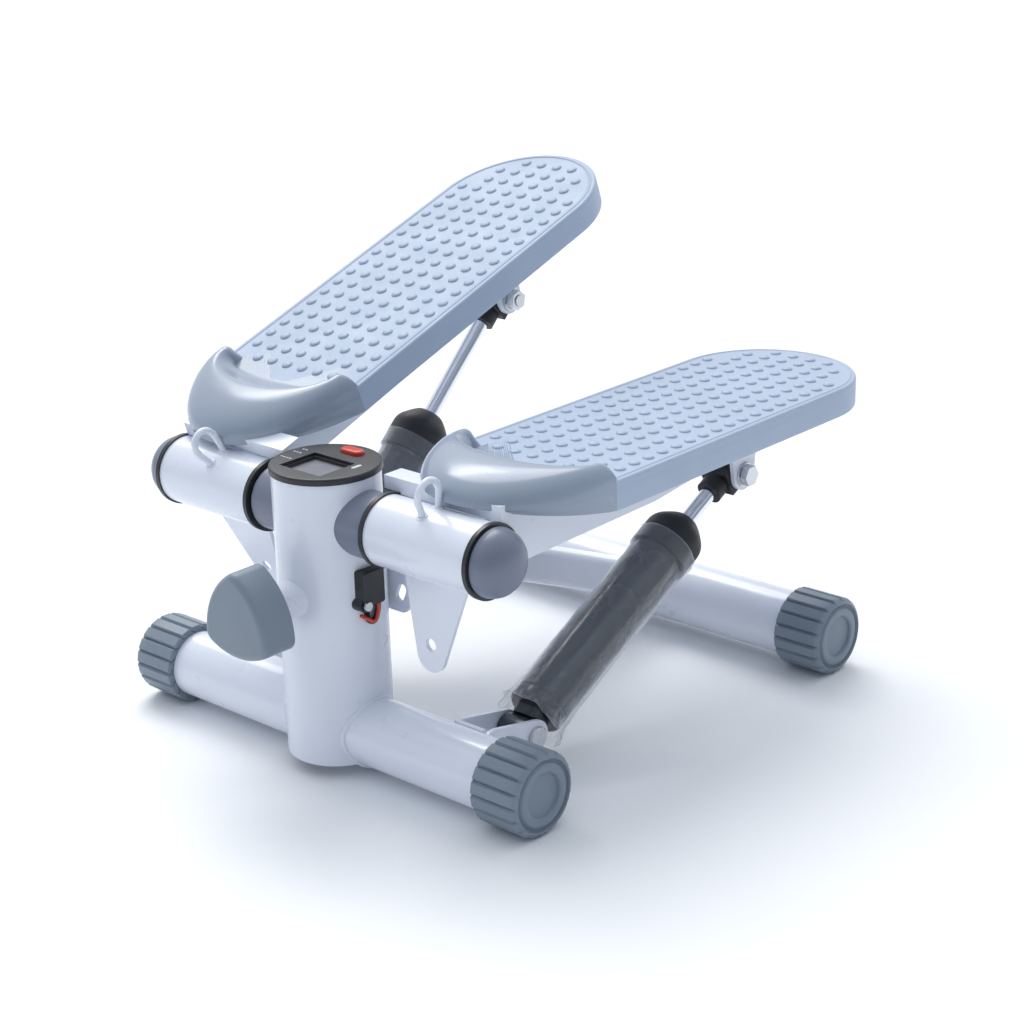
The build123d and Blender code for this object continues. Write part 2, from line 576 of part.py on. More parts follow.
for name, side in SIDES.items():
    save(post_bush(side), f"{name}_post_bush")
    save(dome_cap(side), f"{name}_dome_cap")
    save(lower_bracket(side), f"{name}_lower_bracket")
    pedal_pieces = {
        "pivot_sleeve": pivot_sleeve(),
        "inner_bearing": bearing(True),
        "outer_bearing": bearing(False),
        "band_eyelet": band_eyelet(),
        "rope_lug": rope_lug(),
        "pedal_tray": pedal_tray(),
        "footplate": footplate(),
        "footplate_screws": footplate_screws(),
        "upper_bracket": upper_bracket(),
    }
    for node, piece in pedal_pieces.items():
        save(place_pedal(mirror_x(piece, side), side), f"{name}_{node}")
    save(place_pedal(upper_bolt(side), side), f"{name}_upper_bolt")
    save(place_lower(damper_cylinder(), side), f"{name}_damper_cylinder")
    save(place_lower(damper_boot(), side), f"{name}_damper_boot")
    save(place_upper(damper_rod(), side), f"{name}_damper_rod")
    save(place_upper(damper_piston(), side), f"{name}_damper_piston")
    save(place_upper(damper_rod_end(), side), f"{name}_damper_rod_end")
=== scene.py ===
import json
import math

import bmesh
import bpy
from mathutils import Matrix, Vector, noise

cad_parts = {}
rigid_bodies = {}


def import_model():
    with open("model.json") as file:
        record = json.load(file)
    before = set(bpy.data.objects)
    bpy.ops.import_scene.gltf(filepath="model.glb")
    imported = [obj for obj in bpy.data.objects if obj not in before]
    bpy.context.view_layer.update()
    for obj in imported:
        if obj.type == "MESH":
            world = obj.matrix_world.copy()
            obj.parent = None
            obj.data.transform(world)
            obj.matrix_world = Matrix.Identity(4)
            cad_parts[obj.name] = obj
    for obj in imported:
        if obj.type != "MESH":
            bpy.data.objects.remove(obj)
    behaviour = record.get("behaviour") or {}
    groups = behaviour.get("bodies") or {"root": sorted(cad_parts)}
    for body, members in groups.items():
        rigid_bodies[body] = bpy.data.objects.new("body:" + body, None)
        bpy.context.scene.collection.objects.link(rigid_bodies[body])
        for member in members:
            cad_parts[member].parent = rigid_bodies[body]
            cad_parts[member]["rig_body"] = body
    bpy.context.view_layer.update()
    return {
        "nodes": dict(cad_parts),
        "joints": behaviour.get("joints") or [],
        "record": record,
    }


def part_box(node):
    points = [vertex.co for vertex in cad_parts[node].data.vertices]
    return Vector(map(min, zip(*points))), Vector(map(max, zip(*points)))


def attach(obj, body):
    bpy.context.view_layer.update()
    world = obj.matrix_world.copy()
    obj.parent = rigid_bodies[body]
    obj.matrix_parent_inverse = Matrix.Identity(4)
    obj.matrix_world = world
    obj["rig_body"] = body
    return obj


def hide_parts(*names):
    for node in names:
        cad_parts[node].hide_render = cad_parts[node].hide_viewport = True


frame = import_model()

MM = 0.001
SIDES = {"left": -1, "right": 1}

# ---- places read from the frame ----
JOINTS = {j["name"]: j for j in frame["joints"]}


def middle(node):
    low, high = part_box(node)
    return (low + high) / 2


TUBE = middle("front_base_tube")
PIVOT = middle("pivot_axle")
PEDAL_X = middle("right_footplate").x
RAISED = -math.radians(JOINTS["left_pedal_hinge"]["range_deg"][0])
TUBE_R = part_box("front_base_tube")[1].z - TUBE.z
POST_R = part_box("display_post")[1].x
CAP_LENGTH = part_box("front_right_end_cap")[1].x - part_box("front_right_end_cap")[0].x
DISC_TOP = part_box("computer_housing")[1].z

# ---- footplate, in the pedal's own frame: y back from the hinge, z up, in mm ----
PLATE_HALF_WIDTH = 63.5
PLATE_TOP, PLATE_BOTTOM = 32.8, 13.5
TOE_Y, TOE_LENGTH = 75.0, 71.0
HEEL_Y = 314.0
RIDGE_HALF_WIDTH, RIDGE_DEPTH, RIDGE_TOP, RIDGE_SIDE_TOP = 55.0, 33.0, 46.4, 44.0
CUP_HALF_WIDTH, CUP_DEPTH = 47.0, 7.0
RIM_END = 83.0
TUCK = 4.5
STUD_PITCH_X, STUD_PITCH_Y = 14.58, 13.7
STUD_FIRST_Y, STUD_ROWS, STUD_COLUMNS = 86.0, 21, 8
STUD_R, STUD_HEIGHT = 3.9, 1.5
SHOULDER_Z = 26.6                                # where the wall turns in towards the rim or the tread
SKIRT_SKIN, ROOF_Z = 3.2, 28.2                   # the shell's wall and the height of its hollow
TREAD_RING = 1.5                                 # flat ring between the rim's foot and the tread's middle
RIM_STEPS = 14

# ---- dampers, along the axis from the lower pivot, in mm ----
CYLINDER_R, CYLINDER_START, CYLINDER_END = 19.0, 15.0, 166.0
CYLINDER_BORE, CYLINDER_FLOOR = 16.0, 6.0
BOOT_R, BOOT_START, BOOT_END = 21.0, 158.0, 193.0
GLAND_BORE = 5.7
EYE_HALF_LENGTH, EYE_R, EYE_BORE = 11.0, 10.0, 5.1
FILM_START, FILM_END, FILM_R, FILM_THICKNESS = 11.0, 170.0, 19.35, 0.12

# ---- the camera that the photograph's perspective gives, in degrees, mm of lens, and metres ----
CAMERA_AZIMUTH, CAMERA_ELEVATION, CAMERA_ROLL = 42.76, 19.97, -1.7
CAMERA_LENS, CAMERA_SENSOR = 79.08, 36.0
CAMERA_PLACE = Vector((0.9767, TUBE.y - 0.8882, 0.6417))


# ---------------------------------------------------------------- materials
def link(tree, source, socket):
    tree.links.new(source, socket)


def noise_node(tree, scale, detail=3.0, roughness=0.5, stretch=None):
    """Noise over the object's own coordinates, stretched along an axis if asked."""
    coords = tree.nodes.new("ShaderNodeTexCoord")
    texture = tree.nodes.new("ShaderNodeTexNoise")
    texture.inputs["Scale"].default_value = scale
    texture.inputs["Detail"].default_value = detail
    texture.inputs["Roughness"].default_value = roughness
    if stretch:
        mapping = tree.nodes.new("ShaderNodeMapping")
        mapping.inputs["Scale"].default_value = stretch
        link(tree, coords.outputs["Object"], mapping.inputs["Vector"])
        link(tree, mapping.outputs["Vector"], texture.inputs["Vector"])
    else:
        link(tree, coords.outputs["Object"], texture.inputs["Vector"])
    return texture.outputs["Fac"]


def ranged(tree, value, low, high):
    """Stretches the middle of a noise's range over low to high."""
    node = tree.nodes.new("ShaderNodeMapRange")
    node.inputs["From Min"].default_value = 0.3
    node.inputs["From Max"].default_value = 0.7
    node.inputs["To Min"].default_value = low
    node.inputs["To Max"].default_value = high
    link(tree, value, node.inputs["Value"])
    return node.outputs["Result"]


def material(name, colour, roughness, metallic=0.0, coat=0.0, coat_roughness=0.08, specular=0.5,
             mottle=0.05, mottle_scale=18.0, gloss_scale=40.0, grain_scale=900.0, grain=0.05,
             grain_depth=0.0002, stretch=None, alpha=1.0):
    """A moulded, painted or metal finish: mottled colour, uneven gloss and a fine surface grain."""
    made = bpy.data.materials.new(name)
    made.use_nodes = True
    tree = made.node_tree
    shader = tree.nodes["Principled BSDF"]
    shader.inputs["Metallic"].default_value = metallic
    shader.inputs["Coat Weight"].default_value = coat
    shader.inputs["Coat Roughness"].default_value = coat_roughness
    shader.inputs["Specular IOR Level"].default_value = specular
    shader.inputs["Alpha"].default_value = alpha
    ramp = tree.nodes.new("ShaderNodeValToRGB")
    ramp.color_ramp.elements[0].position = 0.3
    ramp.color_ramp.elements[1].position = 0.7
    ramp.color_ramp.elements[0].color = [c * (1 - mottle) for c in colour] + [1]
    ramp.color_ramp.elements[1].color = [min(1.0, c * (1 + mottle)) for c in colour] + [1]
    link(tree, noise_node(tree, mottle_scale), ramp.inputs["Fac"])
    link(tree, ramp.outputs["Color"], shader.inputs["Base Color"])
    gloss = ranged(tree, noise_node(tree, gloss_scale, 4.0, 0.6, stretch), *roughness)
    link(tree, gloss, shader.inputs["Roughness"])
    bump = tree.nodes.new("ShaderNodeBump")
    bump.inputs["Strength"].default_value = grain
    bump.inputs["Distance"].default_value = grain_depth
    link(tree, noise_node(tree, grain_scale, 2.0, 0.5, stretch), bump.inputs["Height"])
    link(tree, bump.outputs["Normal"], shader.inputs["Normal"])
    return made


def film_material():
    """Clear crumpled film: hardly there face on, whitish where it is seen edge on or creased."""
    made = material("film", (0.86, 0.9, 0.95), (0.1, 0.22), specular=0.8, mottle=0.02, grain_scale=150.0,
                    grain=0.6, grain_depth=0.0008)
    tree = made.node_tree
    facing = tree.nodes.new("ShaderNodeLayerWeight")
    facing.inputs["Blend"].default_value = 0.35
    edge = tree.nodes.new("ShaderNodeMapRange")
    edge.inputs["From Min"].default_value = 0.25
    edge.inputs["From Max"].default_value = 1.0
    edge.inputs["To Min"].default_value = 0.07
    edge.inputs["To Max"].default_value = 0.6
    link(tree, facing.outputs["Facing"], edge.inputs["Value"])
    link(tree, edge.outputs["Result"], tree.nodes["Principled BSDF"].inputs["Alpha"])
    return made


MATERIALS = {
    "white_paint": material("white_paint", (0.80, 0.835, 0.92), (0.27, 0.31), coat=0.4, mottle=0.006,
                            grain_scale=420.0, grain=0.05, grain_depth=0.0002),
    "dark_paint": material("dark_paint", (0.022, 0.026, 0.036), (0.2, 0.32), coat=0.5, coat_roughness=0.15,
                           mottle=0.1, grain_scale=300.0, grain=0.1),
    "tread_plastic": material("tread_plastic", (0.40, 0.48, 0.61), (0.42, 0.55), mottle=0.03,
                              grain_scale=1500.0, grain=0.25, grain_depth=0.0002),
    # toe rim: the tread's plastic with more gloss; its darker colour is painted shade for the rim's shaded
    # front
    "toe_plastic_painted_shade": material("toe_plastic_painted_shade", (0.30, 0.355, 0.445), (0.18, 0.28), coat=0.2, mottle=0.03,
                            grain_scale=600.0, grain=0.06),
    "grey_plastic": material("grey_plastic", (0.215, 0.262, 0.315), (0.38, 0.5), mottle=0.06,
                             grain_scale=1400.0, grain=0.25),
    "mid_grey_plastic": material("mid_grey_plastic", (0.185, 0.21, 0.28), (0.28, 0.4), mottle=0.05,
                                 grain_scale=1100.0, grain=0.15),
    "black_plastic": material("black_plastic", (0.02, 0.022, 0.026), (0.34, 0.46), mottle=0.15,
                              grain_scale=1500.0, grain=0.15),
    "black_rubber": material("black_rubber", (0.012, 0.012, 0.015), (0.4, 0.58), mottle=0.2,
                             grain_scale=1000.0, grain=0.3),
    "chrome": material("chrome", (0.78, 0.8, 0.84), (0.06, 0.14), metallic=1.0, mottle=0.02,
                       grain_scale=500.0, grain=0.03, stretch=(1.0, 0.05, 1.0)),
    "zinc_steel": material("zinc_steel", (0.62, 0.64, 0.66), (0.2, 0.38), metallic=1.0, mottle=0.1,
                           grain_scale=700.0, grain=0.1),
    "steel": material("steel", (0.42, 0.42, 0.43), (0.3, 0.5), metallic=1.0, mottle=0.15),
    "red_plastic": material("red_plastic", (0.66, 0.045, 0.02), (0.26, 0.38), mottle=0.05, coat=0.2),
    "display_glass": material("display_glass", (0.55, 0.58, 0.6), (0.1, 0.16), specular=0.3, mottle=0.02,
                              alpha=0.06),
    "display_panel": material("display_panel", (0.17, 0.165, 0.205), (0.4, 0.5), mottle=0.04),
    "circuit_board": material("circuit_board", (0.02, 0.16, 0.06), (0.35, 0.5), mottle=0.2),
    "print": material("print", (0.6, 0.66, 0.68), (0.35, 0.5), mottle=0.05),
    "film": film_material(),
}
SLOT_OF = {s["node"]: s["material_slot"] for s in frame["record"]["subparts"]}


def paint(obj, name):
    obj.data.materials.clear()
    obj.data.materials.append(MATERIALS[name])


# ---------------------------------------------------------------- mesh helpers
def new_piece(name, bm, look, body, replaces=(), matrix=None, smooth=math.radians(35)):
    """Turns a bmesh into a named piece that rides on a body and takes a material slot's look."""
    mesh = bpy.data.meshes.new(name)
    bmesh.ops.recalc_face_normals(bm, faces=bm.faces)
    bm.to_mesh(mesh)
    bm.free()
    obj = bpy.data.objects.new(name, mesh)
    bpy.context.scene.collection.objects.link(obj)
    if matrix is not None:
        mesh.transform(matrix)
    mesh.shade_smooth()
    mesh.set_sharp_from_angle(angle=smooth)
    paint(obj, look)
    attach(obj, body)
    if replaces:
        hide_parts(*replaces)
    return obj


def rounded(points, radius, steps=4):
    """An open run of 2-D points with each inner corner turned into an arc of the radius."""
    out = [Vector(points[0])]
    for before, corner, after in zip(points, points[1:], points[2:]):
        corner = Vector(corner)
        a, b = Vector(before) - corner, Vector(after) - corner
        reach = min(radius, 0.45 * a.length, 0.45 * b.length)
        start, end = corner + a.normalized() * reach, corner + b.normalized() * reach
        for i in range(steps + 1):
            t = i / steps
            out.append(start * (1 - t) ** 2 + corner * 2 * t * (1 - t) + end * t * t)
    out.append(Vector(points[-1]))
    return out


def lathe(profile, segments=96):
    """Spins (distance along, radius) in mm about +X; ends on the axis close to a point."""
    bm = bmesh.new()
    rings = []
    for along, radius in profile:
        if radius < 1e-6:
            rings.append([bm.verts.new((along * MM, 0, 0))])
            continue
        ring = []
        for i in range(segments):
            a = math.tau * i / segments
            ring.append(bm.verts.new((along * MM, radius * MM * math.cos(a), radius * MM * math.sin(a))))
        rings.append(ring)
    join_rings(bm, rings)
    return bm


def join_rings(bm, rings):
    """Faces from each ring to the next; a ring of one point closes the skin there."""
    for low, high in zip(rings, rings[1:]):
        count = max(len(low), len(high))
        for i in range(count):
            j = (i + 1) % count
            if len(low) == 1:
                bm.faces.new((low[0], high[j], high[i]))
            elif len(high) == 1:
                bm.faces.new((low[i], low[j], high[0]))
            else:
                bm.faces.new((low[i], low[j], high[j], high[i]))


def smooth_path(points, steps=6):
    """More points on a smooth curve through the given ones."""
    last = len(points) - 1
    out = []
    for i in range(last):
        a, b, c, d = (points[max(0, min(last, i + k))] for k in (-1, 0, 1, 2))
        for k in range(steps):
            t = k / steps
            out.append(0.5 * (2 * b + (c - a) * t + (2 * a - 5 * b + 4 * c - d) * t**2
                              + (3 * b - a - 3 * c + d) * t**3))
    return out + [points[-1]]


def tube_along(points, radius, closed=False, segments=14, ripple=0.0):
    """A round tube through points in metres; ripple swells it like a row of weld beads."""
    bm = bmesh.new()
    count = len(points)
    rings = []
    across = None
    for i, p in enumerate(points):
        ahead = points[(i + 1) % count] if closed or i < count - 1 else p
        behind = points[i - 1] if closed or i else p
        direction = (ahead - behind).normalized()
        if across is None:
            across = direction.orthogonal()
        across = (across - direction * across.dot(direction)).normalized()
        up = direction.cross(across)
        swell = radius * (1 + ripple * math.sin(i * 1.9))
        rings.append([bm.verts.new(p + (across * math.cos(a) + up * math.sin(a)) * swell)
                      for a in (math.tau * k / segments for k in range(segments))])
    if closed:
        join_rings(bm, rings)
        first, last = rings[0], rings[-1]
        turn = min(range(segments), key=lambda k: (first[k].co - last[0].co).length)
        join_rings(bm, [last, first[turn:] + first[:turn]])
    else:
        join_rings(bm, rings)
        bm.faces.new(rings[0])
        bm.faces.new(rings[-1])
    return bm


def softened(node, width):
    """A copy of a flat-sided CAD node with small rounded edges, standing for the node."""
    source = frame["nodes"][node]
    bm = bmesh.new()
    bm.from_mesh(source.data)
    bmesh.ops.remove_doubles(bm, verts=bm.verts, dist=2e-6)
    bmesh.ops.dissolve_limit(bm, angle_limit=math.radians(1.0), verts=bm.verts, edges=bm.edges)
    obj = new_piece(node + "_shape", bm, SLOT_OF[node], source["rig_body"], (node,))
    bevel = obj.modifiers.new("edges", "BEVEL")
    bevel.width = width * MM
    bevel.segments = 2
    bevel.limit_method = "ANGLE"
    bevel.angle_limit = math.radians(30)
    bevel.harden_normals = True


def pedal_matrix(side):
    """The pedal's frame at rest, where the left one is raised: origin on the hinge."""
    angle = RAISED if side < 0 else 0.0
    return Matrix.Translation((side * PEDAL_X, PIVOT.y, PIVOT.z)) @ Matrix.Rotation(angle, 4, "X")


def damper_matrix(name):
    """The damper's frame at rest: +X runs from the lower pivot up the rod, +Z is its upper side."""
    pivot = Vector(JOINTS[name + "_damper_swing"]["pos_m"])
    axis = Vector(JOINTS[name + "_damper_stroke"]["axis"])
    across = Vector((-1, 0, 0))
    turn = Matrix((axis, across, axis.cross(across))).transposed().to_4x4()
    return Matrix.Translation(pivot) @ turn


# ---------------------------------------------------------------- base
def end_cap(name):
    """Ribbed cap: flat pads between V-grooves, a grooved rim, a rounded ring and a sunk disc."""
    low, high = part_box(name)
    side = 1 if (low.x + high.x) > 0 else -1
    pads, per_pad, outer, bore = 18, 12, 27.0, 22.6
    groove, groove_share, flat_from = 1.9, 0.28, 0.25
    floor_inset, disc_sink = 6, 2.6
    length = CAP_LENGTH / MM
    # (distance along, change of radius, share of the groove's depth)
    stations = [(0.0, -1.0, 0.3), (0.6, 0.0, 1.0), (length * 0.3, 0.0, 1.0), (length * 0.7, 0.0, 1.0),
                (length - 3.6, 0.0, 1.0), (length - 2.4, -0.5, 0.8), (length - 1.2, -1.7, 0.4),
                (length - 0.4, -3.0, 0.0)]
    # (distance along, radius) over the end face
    face = rounded([(length - 0.2, 23.9), (length - 0.2, 23.2), (length - 2.4, 22.4), (length - 2.4, 21.4),
                    (length - 0.1, 19.6), (length, 17.8), (length - 0.1, 15.2), (length - 0.9, 14.2),
                    (length - disc_sink, 13.8), (length - disc_sink, 8.0)], 0.8, 3)
    bm = bmesh.new()
    around = pads * per_pad
    angles = [math.tau * i / around - math.pi / 2 + math.pi / pads for i in range(around)]
    rings = [[bm.verts.new((x * MM, bore * MM * math.cos(a), bore * MM * math.sin(a)))
              for a in (math.tau * i / around for i in range(around))] for x in (length - floor_inset, 0.0)]
    for x, drop, depth in stations:
        ring = []
        for i, a in enumerate(angles):
            within = (i % per_pad) / per_pad
            within = 2 * min(within, 1 - within)
            flat = outer / math.cos((1 - within) * math.pi / pads) if within > flat_from else outer
            dip = groove * depth * max(0.0, 1 - within / groove_share)
            r = (flat + drop - dip) * MM
            ring.append(bm.verts.new((x * MM, r * math.cos(a), r * math.sin(a))))
        rings.append(ring)
    for x, r in face:
        rings.append([bm.verts.new((x * MM, r * MM * math.cos(a), r * MM * math.sin(a))) for a in angles])
    rings.append([bm.verts.new(((length - disc_sink) * MM, 0, 0))])
    join_rings(bm, rings)
    turn = Matrix.Identity(4) if side > 0 else Matrix.Rotation(math.pi, 4, "Z")
    start = low.x if side > 0 else high.x
    place = Matrix.Translation((start, (low.y + high.y) / 2, TUBE.z)) @ turn
    new_piece(name + "_ribbed", bm, "grey_plastic", "base", (name,), place, math.radians(40))


for cap in ("front_left", "front_right", "rear_left", "rear_right"):
    end_cap(cap + "_end_cap")


def saddle_weld(name, side):
    """Bead where the post meets the front tube, following the two cylinders' crossing."""
    count, bead_r = 96, 1.7
    points = []
    for i in range(count):
        a = math.tau * i / count
        y, z = TUBE_R * math.sin(a), TUBE_R * math.cos(a)
        points.append(Vector((side * math.sqrt(POST_R**2 - y**2), TUBE.y + y, TUBE.z + z)))
    bead = tube_along(points, bead_r * MM, closed=True, segments=10, ripple=0.1)
    new_piece(name, bead, "white_paint", "base")


for label, side in SIDES.items():
    saddle_weld(label + "_post_weld", side)


def dome_cap(label, side):
    """Domed plug on the axle's end: a short skirt, then a dome a little fuller than a sphere's."""
    name = label + "_dome_cap"
    spigot_r, spigot_depth, skirt = 9.9, 6.0, 2.5
    low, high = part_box(name)
    radius, height = (high.z - low.z) / 2 / MM, (high.x - low.x) / MM
    profile = [(spigot_depth, 0.0), (spigot_depth, spigot_r), (0.0, spigot_r)]
    profile += rounded([(0.0, spigot_r), (0.0, radius), (2.0, radius), (skirt, radius - 0.3)], 0.5, 2)[1:]
    steps = 22
    for i in range(1, steps + 1):
        a = math.pi / 2 * i / steps
        profile.append((skirt + (height - skirt) * math.sin(a), (radius - 0.4) * math.cos(a) ** 0.92))
    profile[-1] = (height, 0.0)
    turn = Matrix.Identity(4) if side > 0 else Matrix.Rotation(math.pi, 4, "Z")
    start = low.x if side > 0 else high.x
    place = Matrix.Translation((start, PIVOT.y, PIVOT.z)) @ turn
    new_piece(name + "_domed", lathe(profile), "mid_grey_plastic", "base", (name,), place)


for label, side in SIDES.items():
    dome_cap(label, side)


# ---------------------------------------------------------------- pedals
def plate_edge():
    """Points of the footplate's outline, toe to heel and back, each with its angle round the toe."""
    toe_steps, side_steps, heel_steps = 84, 90, 56
    edge = []
    for i in range(toe_steps + 1):
        a = math.pi * i / toe_steps
        edge.append((Vector((PLATE_HALF_WIDTH * math.cos(a), TOE_Y - TOE_LENGTH * math.sin(a))), a))
    left = [(Vector((-PLATE_HALF_WIDTH, TOE_Y + side_run(i / side_steps))), math.pi)
            for i in range(1, side_steps)]
    heel = [(Vector((-PLATE_HALF_WIDTH * math.cos(a), HEEL_Y + PLATE_HALF_WIDTH * math.sin(a))), None)
            for a in (math.pi * i / heel_steps for i in range(heel_steps + 1))]
    right = [(Vector((-p.x, p.y)), 0.0) for p, a in reversed(left)]
    return edge + left + heel + right


def side_run(t):
    """Distance along the straight side, in finer steps where the toe rim ends."""
    return (HEEL_Y - TOE_Y) * (0.22 * t + 0.78 * t**3)


def inward(p):
    """Unit direction from an outline point into the plate."""
    if p.y < TOE_Y:
        n = Vector((-p.x / PLATE_HALF_WIDTH**2, (TOE_Y - p.y) / TOE_LENGTH**2))
    elif p.y > HEEL_Y:
        n = Vector((-p.x, HEEL_Y - p.y))
    else:
        n = Vector((-math.copysign(1, p.x), 0))
    return n.normalized()


def plate_bottom(y):
    """Height of the skirt's lower edge, rising towards the toe to clear the pivot sleeve."""
    rise_end, toe_height = 84.0, 25.4
    t = max(0.0, min(1.0, (rise_end - y) / rise_end))
    return PLATE_BOTTOM + (toe_height - PLATE_BOTTOM) * t


def rim_section(p, angle, steps):
    """Section of the toe rim over one outline point: a bulging front, a ridge and a hollow back."""
    c, s = math.cos(angle), math.sin(angle)
    base_y = max(p.y, TOE_Y)
    ridge = Vector((RIDGE_HALF_WIDTH * c, base_y - RIDGE_DEPTH * s))
    cup = Vector((CUP_HALF_WIDTH * math.copysign(abs(c) ** 0.7, c), base_y - CUP_DEPTH * s))
    top = RIDGE_SIDE_TOP + (RIDGE_TOP - RIDGE_SIDE_TOP) * s
    out = []
    for i in range(steps):
        a = math.pi / 2 * i / (steps - 1)
        q = p.lerp(ridge, 1 - math.cos(a))
        out.append(Vector((q.x, q.y, SHOULDER_Z + (top - SHOULDER_Z) * math.sin(a) ** 0.9)))
    for i in range(1, steps + 1):
        t = i / steps
        q = ridge.lerp(cup, t)
        hollow = 0.5 + 0.5 * math.cos(math.pi * t**0.9)
        fall = hollow * s + (1 - t**2.4) ** 0.7 * (1 - s)
        out.append(Vector((q.x, q.y, PLATE_TOP + (top - PLATE_TOP) * fall)))
    return out


def lip_section(p, count):
    """Section of the tread's edge away from the rim: rounded corner, fine raised line, flat."""
    n = inward(p)
    # (distance in from the outline, height)
    key = [(0.0, SHOULDER_Z), (0.0, 30.9), (0.15, 31.8), (0.75, 32.5), (1.9, PLATE_TOP), (3.0, PLATE_TOP),
           (3.4, PLATE_TOP + 0.4), (4.0, PLATE_TOP + 0.6), (4.6, PLATE_TOP + 0.4), (5.0, PLATE_TOP),
           (9.0, PLATE_TOP), (15.5, PLATE_TOP)]
    out = []
    for i in range(count):
        t = i / (count - 1) * (len(key) - 1)
        k = min(int(t), len(key) - 2)
        inset = key[k][0] + (key[k + 1][0] - key[k][0]) * (t - k)
        height = key[k][1] + (key[k + 1][1] - key[k][1]) * (t - k)
        out.append(Vector((p.x + n.x * inset, p.y + n.y * inset, height)))
    return out


def rim_share(p):
    """1 along the toe rim, falling in a quarter circle to 0 where the rim ends."""
    if p.y <= TOE_Y:
        return 1.0
    t = (p.y - TOE_Y) / (RIM_END - TOE_Y)
    return math.sqrt(1 - t * t) if t < 1 else 0.0


def footplate(label, side):
    """One closed shell: skirt, toe rim, tread and underside, as rings across the outline."""
    bm = bmesh.new()
    columns = []
    for p, angle in plate_edge():
        n = inward(p)
        low = plate_bottom(p.y)
        tuck = TUCK * max(0.0, 1 - p.y / TOE_Y) ** 0.5
        wall = [(tuck + SKIRT_SKIN, ROOF_Z), (tuck + SKIRT_SKIN, low), (tuck + 0.7, low),
                (tuck + 0.2, low + 0.25)]
        for i in range(5):
            t = i / 4
            wall.append((tuck * (1 - t) ** 1.8, low + 0.8 + (25.9 - low) * t))
        column = [Vector((p.x + n.x * inset, p.y + n.y * inset, z)) for inset, z in wall]
        share = rim_share(p)
        top = lip_section(p, 2 * RIM_STEPS)
        if share:
            top = [a.lerp(b, share) for a, b in zip(top, rim_section(p, angle, RIM_STEPS))]
        centre_line = Vector((0.0, min(max(p.y, TOE_Y + 20), HEEL_Y), top[-1].z))
        top.append(top[-1] + (centre_line - top[-1]).normalized() * TREAD_RING)
        columns.append([bm.verts.new(v * MM) for v in column + top])
    for a, b in zip(columns, columns[1:] + columns[:1]):
        for k in range(len(a) - 1):
            bm.faces.new((a[k], a[k + 1], b[k + 1], b[k]))
    floor_face = bm.faces.new([c[0] for c in columns])
    tread = bm.faces.new([c[-1] for c in reversed(columns)])
    bmesh.ops.triangulate(bm, faces=[floor_face, tread])
    obj = new_piece(label + "_footplate_shell", bm, "tread_plastic", label + "_pedal",
                    (label + "_footplate",), pedal_matrix(side), math.radians(50))
    # the toe rim's faces take the glossier copy of the tread plastic, darkened as painted shade
    obj.data.materials.append(MATERIALS["toe_plastic_painted_shade"])
    back = pedal_matrix(side).inverted()
    for polygon in obj.data.polygons:
        centre = back @ polygon.center
        on_rim = centre.z > (PLATE_TOP + 0.3) * MM and centre.y < RIM_END * MM
        if on_rim or centre.y < (RIM_END - 1) * MM:
            polygon.material_index = 1


def studs(label, side):
    """Low domes in a grid over the tread, kept clear of the toe rim and the heel's curve."""
    bm = bmesh.new()
    rings, segments, sunk = 4, 14, 0.15
    for row in range(STUD_ROWS):
        y = STUD_FIRST_Y + row * STUD_PITCH_Y
        for column in range(STUD_COLUMNS):
            x = (column - (STUD_COLUMNS - 1) / 2) * STUD_PITCH_X
            clear_of_heel = math.hypot(x, max(0.0, y - HEEL_Y)) < PLATE_HALF_WIDTH - 10
            clear_of_rim = abs(x) < CUP_HALF_WIDTH - 6 or y > RIM_END + 5
            if not (clear_of_heel and clear_of_rim):
                continue
            made = []
            for k in range(rings):
                a = math.pi / 2 * k / rings
                r = STUD_R * math.cos(a) ** 0.7
                z = PLATE_TOP - sunk + (STUD_HEIGHT + sunk) * math.sin(a)
                ring = [((x + r * math.cos(b)) * MM, (y + r * math.sin(b)) * MM, z * MM)
                        for b in (math.tau * i / segments for i in range(segments))]
                made.append([bm.verts.new(place) for place in ring])
            made.append([bm.verts.new((x * MM, y * MM, (PLATE_TOP + STUD_HEIGHT) * MM))])
            join_rings(bm, made)
            bm.faces.new(reversed(made[0]))
    new_piece(label + "_tread_studs", bm, "tread_plastic", label + "_pedal", (), pedal_matrix(side))


def eyelet(label, side):
    """Bent wire arch leaning back over its feet, which are welded on the sleeve."""
    node = label + "_band_eyelet"
    body, place = label + "_pedal", pedal_matrix(side)
    wire_r, foot_r, bead_r, count = 2.2, 2.9, 0.9, 28
    shape = [(-10.0, -8.8, 19.6), (-9.8, -10.6, 24.0), (-8.9, -13.6, 30.0), (-7.8, -14.2, 35.2),
             (-7.2, -11.8, 39.8), (-7.0, -6.6, 42.4), (-7.0, -1.2, 41.0), (-7.3, 2.2, 36.6),
             (-8.2, 3.4, 31.0), (-9.2, 4.0, 25.0), (-9.8, 4.4, 20.6)]
    path = smooth_path([Vector((x * side, y, z)) * MM for x, y, z in shape])
    wire = tube_along(path, wire_r * MM, segments=20)
    new_piece(node + "_wire", wire, "white_paint", body, (node,), place)
    for tag, x, y in (("front", -10.0, -9.2), ("back", -9.7, 4.3)):
        ring = []
        for i in range(count):
            a = math.tau * i / count
            px, py = x * side + foot_r * math.cos(a), y + foot_r * math.sin(a)
            ring.append(Vector((px, py, math.sqrt((TUBE_R / MM) ** 2 - py * py))) * MM)
        bead = tube_along(ring, bead_r * MM, closed=True, segments=8, ripple=0.12)
        new_piece(f"{node}_{tag}_weld", bead, "white_paint", body, (), place)


for label, side in SIDES.items():
    footplate(label, side)
    studs(label, side)
    eyelet(label, side)
    softened(label + "_pedal_tray", 0.5)
    softened(label + "_rope_lug", 0.5)
    softened(label + "_upper_bracket", 0.4)
    softened(label + "_lower_bracket", 0.4)
    softened(label + "_upper_bolt", 0.3)


